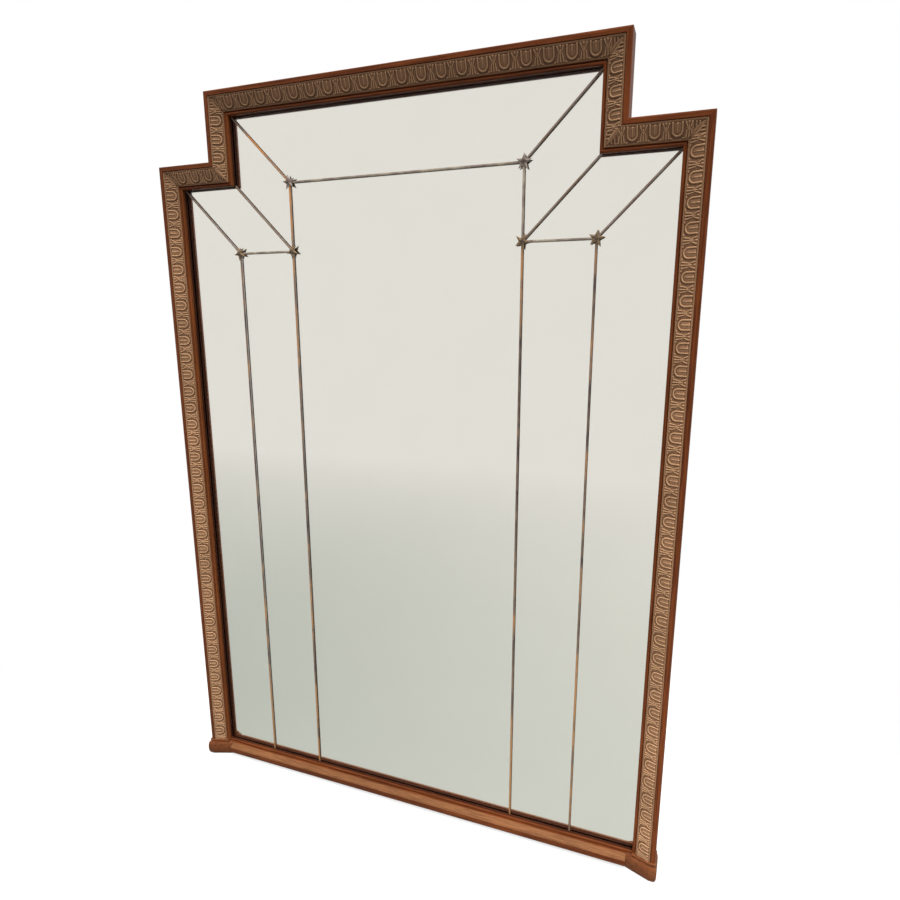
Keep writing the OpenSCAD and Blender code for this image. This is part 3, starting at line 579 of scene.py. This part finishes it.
# Ridges of one half of a dart: height, start and end as shares of the pitch and of the band's
# width, and half widths at the two ends in widths of a tongue's rim
DART_RIDGES = {
    "stem": (0.95, (0, 0.3), (0, 0.86), (0.6, 0.95)),
    "fork": (0.85, (0.03, 0.5), (0.14, 0.15), (0.6, 0.95)),
    "leaf": (0.85, (0.085, 0.5), (0.13, 0.85), (0.6, 1.0)),
    "leaf_tip": (0.7, (0.205, 0.86), (0.26, 0.88), (0.75, 0.75)),
    "bud": (0.9, (0, 0.14), (0, 0.2), (1.1, 0.7)),
}


def dart_relief(x, y, pitch, across, rim):
    """Dart: a stem that forks to the outer side, between two leaves that spread below."""
    web_height, web_reach = 0.32, 0.26 * pitch
    x = np.abs(x)
    relief = web_height * np.clip(1 - (x / web_reach) ** 2, 0, 1) * np.ones_like(y)
    for height, start, end, halves in DART_RIDGES.values():
        first = (start[0] * pitch, start[1] * across)
        last = (end[0] * pitch, end[1] * across)
        form = ridge(x, y, first, last, halves[0] * rim, halves[1] * rim)
        relief = np.maximum(relief, height * form)
    return relief


def mitre_relief(away, share, half):
    """Leaf that lies along a mitre, half on each strip, with a groove on the mitre."""
    root, reach, fullness = 0.12, 0.78, 0.8
    leaf_height, leaf_length = 0.7, 40 * MM
    vein_height, vein_spacing = 0.1, 3.4 * MM
    groove_depth, groove_half = 0.35, 0.7 * MM
    # The share stays off both tips, where the leaf has no width to divide by
    spread = half * np.sin(np.pi * np.clip((share - root) / reach, 0.001, 0.999)) ** fullness
    body = np.sqrt(np.clip(1 - (away / spread) ** 2, 0, 1))
    veins = vein_height * np.cos((share * leaf_length - away) * 2 * np.pi / vein_spacing)
    groove = groove_depth * np.exp(-((away / groove_half) ** 2))
    return np.clip(body * (leaf_height + veins) - groove * body, 0, 1)


# Fillets along the outer and the inner side of a strip: height, middle and half width, as shares
FILLETS = ((0.38, 0.045, 0.065), (0.3, 0.955, 0.06))


def fillet_relief(share):
    """Plain rounded fillets along the two sides."""
    outer, inner = (
        height * np.clip(1 - ((share - middle) / half) ** 2, 0, 1) ** FULLNESS
        for height, middle, half in FILLETS
    )
    return np.maximum(outer, inner)


def strip_grid(sizes, run, first, last):
    """Grid of a strip: distance along, distance across, height as a share, lean and slope.

    An end turn of -1 is the mitre of an outward corner, 1 that of an inward
    corner, and 0 a square end. The lean says how far a point moves along the
    strip as it rises, so that the relief of two strips meets on a mitre."""
    slope = math.atan2(sizes.fall, sizes.width)
    across = sizes.width / math.cos(slope)
    inner = sizes.inset + sizes.width
    room = {-1: inner, 0: sizes.foot, 1: -sizes.inset}
    start, stop = room[first], run - room[last]
    motifs = max(1, round((stop - start) / sizes.pitch))
    pitch = (stop - start) / motifs
    share = np.linspace(0, 1, sizes.rows + 1)[:, None]
    flat = sizes.inset + share * sizes.width
    middle = np.linspace(start, stop, motifs * sizes.columns + 1)[None, :]
    x = (middle - start) % pitch - pitch / 2
    y = share * across
    pattern = np.maximum(
        tongue_relief(x, y, pitch, across, sizes.rim),
        dart_relief(np.abs(x) - pitch / 2, y, pitch, across, sizes.rim),
    )
    parts = []
    # Each end piece fills the room between the end and the nearest whole motif
    end_columns = sizes.columns // 3
    fan_height, fan_reach, fan_spacing = 0.6, 0.37, 3 * sizes.rim
    for turn, edge, base, way in ((first, start, 0.0, 1), (last, stop, run, -1)):
        cut = base - way * turn * flat
        part = np.linspace(0, 1, end_columns + 1)[None, :-1]
        along = cut + (edge - cut) * part
        height = dart_relief(along - edge, y, pitch, across, sizes.rim)
        fan = np.sqrt(np.clip(np.cos((along - edge) * 2 * np.pi / fan_spacing), 0, 1))
        height = np.maximum(height, fan_height * fan * (np.abs(share - 0.5) < fan_reach))
        if turn:
            away = np.abs(along - cut) / math.sqrt(2)
            leaf = mitre_relief(away, share if turn < 0 else 1 - share, sizes.leaf)
            height = np.maximum(height * (away > sizes.leaf * 0.5), leaf)
        lean = -way * turn * (1 - part) * np.ones_like(share)
        parts.append((along, height, lean))
    (a0, h0, l0), (a1, h1, l1) = parts
    along = np.hstack([a0, np.repeat(middle, len(share), 0), a1[:, ::-1]])
    height = np.hstack([h0, pattern, h1[:, ::-1]])
    lean = np.hstack([l0, np.zeros_like(pattern), l1[:, ::-1]])
    height = np.maximum(height, fillet_relief(share))
    return along, share * across, height, lean, slope


def glaze_mask(height):
    """How high each point stands among its neighbours: 1 on crests and 0 in hollows."""
    ground, by_height, by_crest, passes = 0.28, 0.36, 1.2, 4
    soft = height.copy()
    for _ in range(passes):
        wide = np.pad(soft, 1, mode="edge")
        soft = (wide[:-2, 1:-1] + wide[2:, 1:-1] + wide[1:-1, :-2] + wide[1:-1, 2:] + wide[1:-1, 1:-1]) / 5
    return np.clip(ground + by_height * height + by_crest * (height - soft), 0, 1)


def carve_strip(name, sizes, corner, along_axis, inward, run, first, last):
    """One cast strip as a closed mesh: the carved face, two sides, the back and the ends."""
    along, v, height, lean, slope = strip_grid(sizes, run, first, last)
    lift = height * sizes.relief
    sine, cosine = math.sin(slope), math.cos(slope)
    rows, columns = along.shape

    def places(u, v, w):
        """Points at u along, v across the slope and w above it."""
        s = sizes.inset + v * cosine + w * sine
        depth = sizes.depth + v * sine - w * cosine
        spots = corner + u[..., None] * along_axis + s[..., None] * inward
        spots[..., 1] += depth
        return spots

    v = v * np.ones_like(along)
    face = places(along + lean * lift * sine, v, lift)
    under = np.full_like(lift, -sizes.thickness)
    back = places(along + lean * under * sine, v, under)[[0, -1]]
    spots = np.concatenate([face.reshape(-1, 3), back.reshape(-1, 3)])
    index = np.arange(rows * columns).reshape(rows, columns)
    low = rows * columns + np.arange(2 * columns).reshape(2, columns)
    top = np.stack([index[:-1, :-1], index[1:, :-1], index[1:, 1:], index[:-1, 1:]], -1)
    quads = [top.reshape(-1, 4)]
    for side, edge in ((0, 0), (1, -1)):
        quads.append(np.stack([index[edge, :-1], index[edge, 1:], low[side, 1:], low[side, :-1]], -1))
    quads.append(np.stack([low[0, :-1], low[0, 1:], low[1, 1:], low[1, :-1]], -1))
    faces = np.concatenate(quads).tolist()
    for end in (0, -1):
        faces.append([*index[:, end].tolist(), int(low[1, end]), int(low[0, end])])
    mesh = bpy.data.meshes.new(name)
    mesh.from_pydata(spots.tolist(), [], faces)
    hidden = 0.2
    mask = np.concatenate([glaze_mask(height).reshape(-1), np.full(2 * columns, hidden)])
    layer = mesh.attributes.new("carved_height", "FLOAT", "POINT")
    layer.data.foreach_set("value", mask.astype(np.float32))
    mesh.update()
    piece = bpy.data.objects.new(name, mesh)
    bpy.context.collection.objects.link(piece)
    tidy_normals(mesh)
    mesh.polygons.foreach_set("use_smooth", [True] * len(mesh.polygons))
    mesh.set_sharp_from_angle(angle=math.radians(60))
    return piece


def tidy_normals(mesh):
    """Turns all faces outwards."""
    shape = bmesh.new()
    shape.from_mesh(mesh)
    bmesh.ops.recalc_face_normals(shape, faces=shape.faces)
    shape.to_mesh(mesh)
    shape.free()


def strip_places():
    """Where each carved strip lies: corner, direction, way inwards, length and its two ends."""
    stile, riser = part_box("left_stile"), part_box("left_riser")
    front = stile[0].y
    half, step = -stile[0].x, -riser[0].x
    shoulder, top = stile[1].z, riser[1].z
    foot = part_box("left_plinth")[1].z
    up, down, right = Vector((0, 0, 1)), Vector((0, 0, -1)), Vector((1, 0, 0))
    places = {"top_carving": ((-step, front, top), right, down, 2 * step, -1, -1)}
    for side, way in (("left", -1), ("right", 1)):
        inward = right * -way
        places[f"{side}_stile_carving"] = ((way * half, front, foot), up, inward, shoulder - foot, 0, -1)
        places[f"{side}_shoulder_carving"] = ((way * half, front, shoulder), inward, down, half - step, -1, 1)
        places[f"{side}_riser_carving"] = ((way * step, front, shoulder), up, inward, top - shoulder, 1, -1)
    return places


def way_in(name):
    """Direction from a length of the frame towards the middle of the mirror."""
    if "rail" in name:
        return Vector((0, 0, 1 if name == "bottom_rail" else -1))
    return Vector((1 if name.startswith("left") else -1, 0, 0))


def stain_faces(name, material, chosen):
    """Gives the chosen faces of a length of the frame a stain of their own."""
    mesh = NODES[name].data
    mesh.materials.append(material)
    for face in mesh.polygons:
        if chosen(face):
            face.material_index = len(mesh.materials) - 1


class MIRROR_OT_moulding(bpy.types.Operator):
    """Stains and varnishes the moulding and the plinth blocks"""

    bl_idname = "mirror.moulding"
    bl_label = "Stained moulding"

    def execute(self, context):
        colours = context.scene.mirror_colours
        tones = (colours.stain_dark, colours.stain, colours.stain_light)
        upright = wood("stained_beech_upright", "z", tones, BEECH_STREAKS, BEECH_ROUGHNESS)
        level = wood("stained_beech_level", "x", tones, BEECH_STREAKS, BEECH_ROUGHNESS)
        # Painted shade on the wall between the sight edge and the glass
        reveal = wood("sight_wall_painted_shade", "x", shades(colours.reveal), BEECH_STREAKS, 0.6)
        # Painted light on the uprights' inward sight edge
        edge = wood("sight_edge_painted_light", "z", shades(colours.edge), BEECH_STREAKS, BEECH_ROUGHNESS)
        # Painted sheen on the bottom rail's upward slope, over its grain streaks
        worn = wood("slope_beech_painted_sheen", "x", shades(colours.rubbed, 0.55, 1.28), (2.0, 45), BEECH_ROUGHNESS)
        block = wood("worn_beech_block", "x", shades(colours.block, 0.62, 1.3), (3.0, 30), 0.5)
        uprights = [
            name for name in named("stile", "riser") if "carving" not in name and "plate" not in name
        ]
        rails = named("rail")
        dress(uprights, upright)
        dress(rails, level)
        dress(named("plinth"), block, smooth_under=35)
        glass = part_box("centre_plate")[0].y
        sight = glass - REVEAL_DEPTH
        # The wall between the sight edge and the glass, painted near-black as painted shade
        for name in (*uprights, *rails):
            inward = way_in(name)
            stain_faces(
                name,
                reveal,
                lambda face: sight < face.center.y < glass and face.normal.dot(inward) > 0.5,
            )
        # What lies in front of that wall and looks inwards, on the uprights, gets a lighter stain as painted
        # light
        for name in uprights:
            inward = way_in(name)
            stain_faces(
                name, edge, lambda face: face.center.y < sight and face.normal.dot(inward) > 0.35
            )
        # The slope of the bottom rail, between its ovolo and its quirk, gets a paler stain as painted sheen:
        # the light from above that it catches and reflects
        slope_end = -3 * MM
        stain_faces(
            "bottom_rail", worn, lambda face: 0.25 < face.normal.z < 0.97 and face.center.y < slope_end
        )
        return {"FINISHED"}


class MIRROR_OT_carving(bpy.types.Operator):
    """Casts the leaf-and-dart strips in full relief"""

    bl_idname = "mirror.carving"
    bl_label = "Carved bands"

    def execute(self, context):
        sizes = context.scene.mirror_carving
        finish = bronzed_composition(context.scene.mirror_colours)
        for node, (corner, along, inward, *ends) in strip_places().items():
            name = node.replace("carving", "leaf_band")
            piece = carve_strip(name, sizes, np.array(corner), np.array(along), np.array(inward), *ends)
            piece.data.materials.append(finish)
            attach(piece, "frame")
            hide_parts(node)
        return {"FINISHED"}


class MIRROR_OT_plates(bpy.types.Operator):
    """Silvers the backs of the mirror plates"""

    bl_idname = "mirror.plates"
    bl_label = "Mirror plates"

    def execute(self, context):
        colours = context.scene.mirror_colours
        plates = [name for name in named("_plate") if name != "retaining_plates"]
        dress(plates, float_glass(colours))
        silver = silvering(colours)
        for name in plates:
            mesh = NODES[name].data
            mesh.materials.append(silver)
            for face in mesh.polygons:
                face.material_index = int(face.normal.y > 0.5)
        return {"FINISHED"}


class MIRROR_OT_seams(bpy.types.Operator):
    """Tarnishes the beads over the seams, the stars and their pins"""

    bl_idname = "mirror.seams"
    bl_label = "Seam beads and stars"

    def execute(self, context):
        colours = context.scene.mirror_colours
        worn, slant = colours.brass_worn, colours.slant
        tarnish = [colours.brass_dull, worn, colours.brass]
        brass = aged_metal("tarnished_drawn_brass", tarnish, 75, BRASS_ROUGHNESS, 0.6, painted_light_share=0.14)
        copper = aged_metal("copper_toned_brass", [slant, colours.copper], 60, BRASS_ROUGHNESS, 0.6)
        grey = aged_metal("greyed_brass", [worn, slant], 40, 0.45, 0.4)
        pewter = aged_metal("plated_drawn_brass", [slant, colours.pewter], 25, BRASS_ROUGHNESS, 0.6)
        dress(named("inner_bead", "outer_bead", "star_pins"), brass)
        dress(named("diagonal_bead"), grey)
        dress(["left_top_diagonal_bead", "left_short_bead"], copper)
        dress(["right_short_bead", "top_bead", *named("shoulder_bead")], pewter)
        for name in named("_star"):
            near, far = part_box(name)
            middle, reach = (near + far) / 2, (far.x - near.x) / 2
            points = colours.bronze if "top" in name else colours.bronze_brown
            tones = (colours.bronze_dark, points)
            dress([name], star_bronze(f"cast_bronze_{name}", middle, reach, tones), smooth_under=10)
            edge = NODES[name].modifiers.new("rubbed_edges", "BEVEL")
            edge.width = 0.35 * MM
            edge.segments = 2
            edge.limit_method = "ANGLE"
        return {"FINISHED"}


class MIRROR_OT_back(bpy.types.Operator):
    """Finishes the back: board, plates, screws, hangers, keys and pads"""

    bl_idname = "mirror.back"
    bl_label = "Back and hangers"

    def execute(self, context):
        colours = context.scene.mirror_colours
        tones = shades(colours.board)
        dress(["backing_board"], wood("birch_plywood", "z", tones, (7, 260), 0.62))
        # The board's face stands just clear of the plates' silver
        seat = NODES["backing_board"].modifiers.new("clear_of_the_silver", "DISPLACE")
        seat.mid_level = 0.0
        seat.strength = -0.08 * MM
        dress(["mitre_keys"], wood("planed_beech_key", "x", tones, (1.5, 40), 0.6))
        dull = tuple(c * 0.55 for c in colours.steel)
        zinc = aged_metal("zinc_plated_steel", [dull, colours.steel], 7, 0.3)
        dress(named("hanger", "retaining"), zinc)
        dress(["wall_pads"], wool_felt(colours))
        return {"FINISHED"}


class MIRROR_OT_stage(bpy.types.Operator):
    """Sets the floor, the light and the camera"""

    bl_idname = "mirror.stage"
    bl_label = "Studio"

    def execute(self, context):
        settings = context.scene.mirror_stage
        stage_floor()
        stage_world(settings.sky)
        stage_lights(settings)
        stage_camera(settings)
        context.scene.view_settings.view_transform = "Standard"
        return {"FINISHED"}


def ray_kinds(tree):
    """Two switches: 1 for a camera ray, and 1 for a ray that a mirror or a glass sends on."""
    ray = put(tree, "ShaderNodeLightPath")
    either = put(
        tree,
        "ShaderNodeMath",
        {0: ray.outputs["Is Glossy Ray"], 1: ray.outputs["Is Transmission Ray"]},
        operation="MAXIMUM",
    )
    return ray.outputs["Is Camera Ray"], either.outputs["Value"]


def stage_floor():
    """Plain white floor, which mirrors show as the pale floor of a room."""
    reach = 9.0
    corners = [(-reach, -reach, 0), (reach, -reach, 0), (reach, reach, 0), (-reach, reach, 0)]
    mesh = bpy.data.meshes.new("floor")
    mesh.from_pydata(corners, [], [(0, 1, 2, 3)])
    floor = bpy.data.objects.new("floor", mesh)
    bpy.context.collection.objects.link(floor)
    material = bpy.data.materials.new("matt_white_floor")
    material.use_nodes = True
    tree = material.node_tree
    tree.nodes.clear()
    paint = put(tree, "ShaderNodeBsdfDiffuse", {"Color": (*FLOOR_PAINT, 1.0)})
    # Light from above models the carving, so the floor sends little of it back up
    dim = put(tree, "ShaderNodeBsdfDiffuse", {"Color": (*FLOOR_DIM, 1.0)})
    white = put(tree, "ShaderNodeEmission", {"Color": (1, 1, 1, 1), "Strength": 1.0})
    ground = put(tree, "ShaderNodeTexCoord").outputs["Object"]
    place = put(tree, "ShaderNodeSeparateXYZ", {"Vector": ground})
    side = put(
        tree,
        "ShaderNodeMapRange",
        {"Value": place.outputs["X"], "From Min": ROOM_ACROSS[0], "From Max": ROOM_ACROSS[1]},
        interpolation_type="SMOOTHSTEP",
    )
    near = put(
        tree,
        "ShaderNodeMix",
        {"Factor": side.outputs["Result"], "A": (*ROOM_LEFT, 1), "B": (*ROOM_RIGHT, 1)},
        data_type="RGBA",
    )
    out = put(
        tree,
        "ShaderNodeMapRange",
        {"Value": place.outputs["Y"], "From Min": ROOM_OUT[0], "From Max": ROOM_OUT[1]},
    )
    seen = put(
        tree,
        "ShaderNodeMix",
        {"Factor": out.outputs["Result"], "A": near.outputs["Result"], "B": (*ROOM_WALL, 1)},
        data_type="RGBA",
    )
    room = put(tree, "ShaderNodeEmission", {"Color": seen.outputs["Result"], "Strength": 1.0})
    away = put(tree, "ShaderNodeVectorMath", {0: ground}, operation="LENGTH")
    fade = put(
        tree,
        "ShaderNodeMapRange",
        {
            "Value": away.outputs["Value"],
            "From Min": SHADOW_FADE[0],
            "From Max": SHADOW_FADE[1],
            "To Min": 0.3,
            "To Max": 0.0,
        },
        interpolation_type="SMOOTHSTEP",
    )
    camera, glass = ray_kinds(tree)
    fading = fade.outputs["Result"]
    lit = put(tree, "ShaderNodeMixShader", {"Fac": fading, 1: white.outputs[0], 2: paint.outputs[0]})
    eye = put(tree, "ShaderNodeMixShader", {"Fac": camera, 1: dim.outputs[0], 2: lit.outputs[0]})
    both = put(tree, "ShaderNodeMixShader", {"Fac": glass, 1: eye.outputs[0], 2: room.outputs[0]})
    put(tree, "ShaderNodeOutputMaterial", {"Surface": both.outputs[0]})
    mesh.materials.append(material)


def stage_world(sky):
    """Even light from all round, white to the eye and the pale wall of a room in mirrors."""
    world = bpy.data.worlds.new("studio")
    bpy.context.scene.world = world
    world.use_nodes = True
    tree = world.node_tree
    tree.nodes.clear()
    even = put(tree, "ShaderNodeBackground", {"Color": (1, 1, 1, 1), "Strength": sky})
    white = put(tree, "ShaderNodeBackground", {"Color": (1, 1, 1, 1), "Strength": 1.0})
    wall = put(tree, "ShaderNodeBackground", {"Color": (*ROOM_WALL, 1), "Strength": 1.0})
    camera, glass = ray_kinds(tree)
    eye = put(tree, "ShaderNodeMixShader", {"Fac": camera, 1: even.outputs[0], 2: white.outputs[0]})
    both = put(tree, "ShaderNodeMixShader", {"Fac": glass, 1: eye.outputs[0], 2: wall.outputs[0]})
    put(tree, "ShaderNodeOutputWorld", {"Surface": both.outputs[0]})


def stage_lights(settings):
    """A broad key from high in front, a low fill for the foot, and a light on the back."""
    key = bpy.data.lights.new("key_light", "SUN")
    key.energy = settings.key
    key.angle = math.radians(50)
    back = bpy.data.lights.new("back_light", "SUN")
    back.energy = settings.back
    back.angle = math.radians(60)
    fill = bpy.data.lights.new("fill_light", "AREA")
    fill.energy = settings.fill
    fill.size = 0.6
    lean = math.pi / 2 - settings.key_height
    # Each lamp with its place and its turn; none of them shows in the glass
    for data, spot, turn in (
        (key, (0, -2, 3), (lean, 0, math.radians(20))),
        (back, (0, 2, 2), (math.radians(-45), 0, 0)),
        (fill, (0.85, -1.1, 0.25), (math.radians(90), 0, math.radians(35))),
    ):
        lamp = bpy.data.objects.new(data.name, data)
        lamp.location = spot
        lamp.rotation_euler = turn
        bpy.context.collection.objects.link(lamp)
        lamp.visible_camera = lamp.visible_glossy = lamp.visible_transmission = False


def stage_camera(settings):
    """The photograph's camera: above the mirror's middle, to its right, turned left and down."""
    data = bpy.data.cameras.new("camera")
    data.sensor_width = 36.0
    data.lens = settings.lens
    data.shift_x = settings.shift_x
    data.shift_y = settings.shift_y
    camera = bpy.data.objects.new("camera", data)
    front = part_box("left_stile")[0].y
    camera.location = (settings.aside, front - settings.distance, settings.height)
    camera.rotation_euler = (settings.pitch, settings.roll, settings.yaw)
    bpy.context.collection.objects.link(camera)
    bpy.context.scene.camera = camera


class MIRROR_PT_panel(bpy.types.Panel):
    """Lists the mirror's operators and settings in the sidebar"""

    bl_label = "Stepped Deco Mirror"
    bl_idname = "MIRROR_PT_panel"
    bl_space_type = "VIEW_3D"
    bl_region_type = "UI"
    bl_category = "Mirror"

    def draw(self, context):
        for kind in OPERATORS:
            self.layout.operator(kind.bl_idname)
        scene = context.scene
        for group in (scene.mirror_carving, scene.mirror_colours, scene.mirror_stage):
            box = self.layout.box()
            for name in group.__annotations__:
                box.prop(group, name)


OPERATORS = (
    MIRROR_OT_moulding,
    MIRROR_OT_carving,
    MIRROR_OT_plates,
    MIRROR_OT_seams,
    MIRROR_OT_back,
    MIRROR_OT_stage,
)
GROUPS = (CarvingSizes, FinishColours, StageSettings)


def register():
    """Adds the classes, and the mirror's settings to the scene."""
    for kind in (*GROUPS, *OPERATORS, MIRROR_PT_panel):
        bpy.utils.register_class(kind)
    bpy.types.Scene.mirror_carving = PointerProperty(type=CarvingSizes)
    bpy.types.Scene.mirror_colours = PointerProperty(type=FinishColours)
    bpy.types.Scene.mirror_stage = PointerProperty(type=StageSettings)


def unregister():
    """Takes the settings and the classes out again."""
    del bpy.types.Scene.mirror_stage
    del bpy.types.Scene.mirror_colours
    del bpy.types.Scene.mirror_carving
    for kind in reversed((*GROUPS, *OPERATORS, MIRROR_PT_panel)):
        bpy.utils.unregister_class(kind)


def main():
    """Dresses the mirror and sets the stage."""
    register()
    for operator in (
        bpy.ops.mirror.moulding,
        bpy.ops.mirror.carving,
        bpy.ops.mirror.plates,
        bpy.ops.mirror.seams,
        bpy.ops.mirror.back,
        bpy.ops.mirror.stage,
    ):
        operator()


if __name__ == "__main__":
    main()
